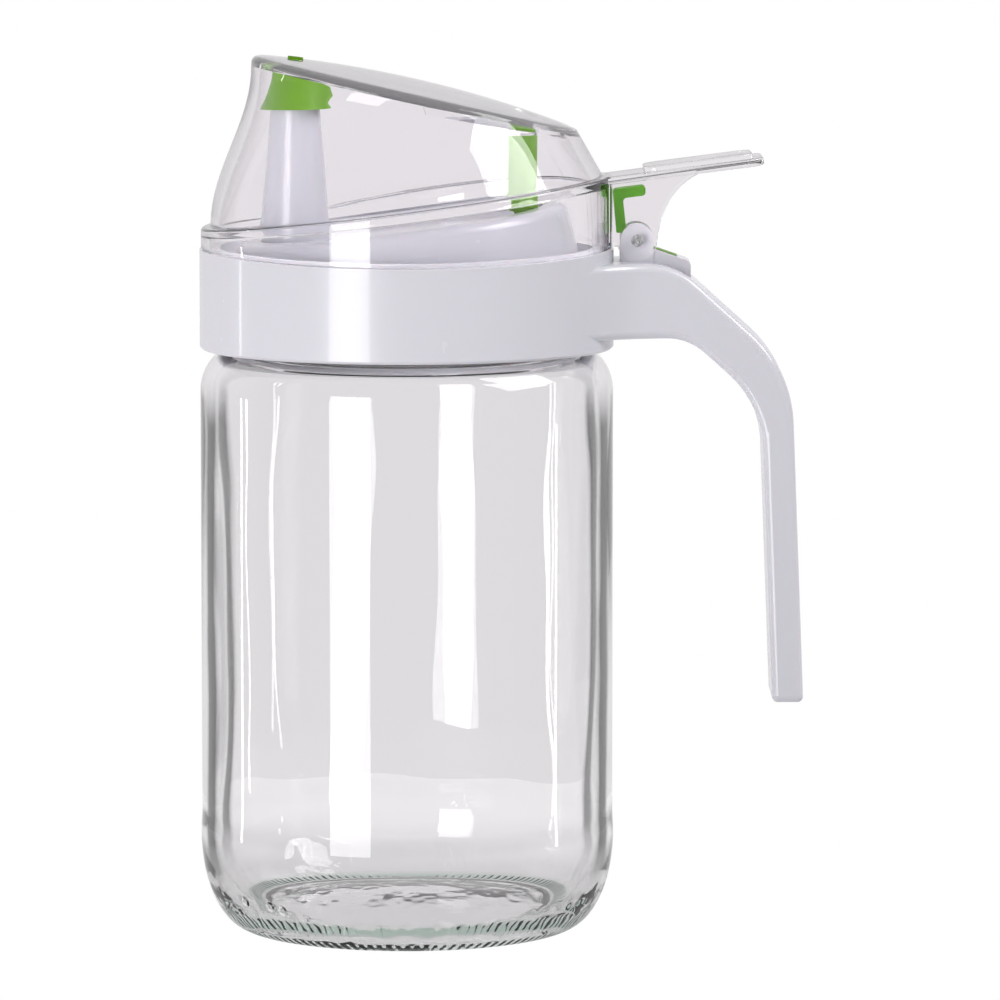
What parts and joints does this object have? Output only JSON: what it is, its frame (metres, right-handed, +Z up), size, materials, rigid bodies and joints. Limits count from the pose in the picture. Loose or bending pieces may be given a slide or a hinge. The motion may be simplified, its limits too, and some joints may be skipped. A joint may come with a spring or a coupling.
{
  "type": "kitchen oil dispenser bottle",
  "caption": "Round clear glass oil dispenser with a white screw collar and hooked handle, a white spout and a clear flip-up lid with a thumb lever.",
  "frame": {"origin": "centre of the jar's foot, on the surface that it stands on", "axes": "+Z up along the jar's axis, +X towards the handle, -X towards the spout"},
  "size_m": [0.1258, 0.0864, 0.1825],
  "materials": {
    "clear_glass": "polished clear soda glass",
    "white_plastic": "glossy moulded",
    "clear_plastic": "polished clear moulded plastic",
    "green_silicone": "satin silicone",
    "white_silicone": "satin silicone",
    "steel": "bright drawn"
  },
  "bodies": {
    "jar": {"glass_jar": "clear_glass"},
    "gasket": {"neck_gasket": "white_silicone"},
    "cap": {"collar_handle": "white_plastic", "pour_insert": "white_plastic", "hinge_pin": "steel", "strap_anchor": "green_silicone"},
    "lid": {"flip_lid": "clear_plastic", "spout_stopper": "green_silicone", "vent_stopper": "green_silicone", "lever_strap": "green_silicone"}
  },
  "joints": [
    {"name": "cap_rise", "type": "slide", "parent": "jar", "child": "gasket", "axis": [0, 0, 1], "range_m": [0, 0.003]},
    {"name": "cap_turn", "type": "hinge", "parent": "gasket", "child": "cap", "pos_m": [0, 0, 0.1376], "axis": [0, 0, 1], "range_deg": [0, 90]},
    {"name": "lid_flip", "type": "hinge", "parent": "cap", "child": "lid", "pos_m": [0.0478, 0, 0.1445], "axis": [0, 1, 0], "range_deg": [0, 55]}
  ],
  "couplings": [
    {"joint": "cap_rise", "follows": "cap_turn", "m_per_rad": 0.001909}
  ]
}
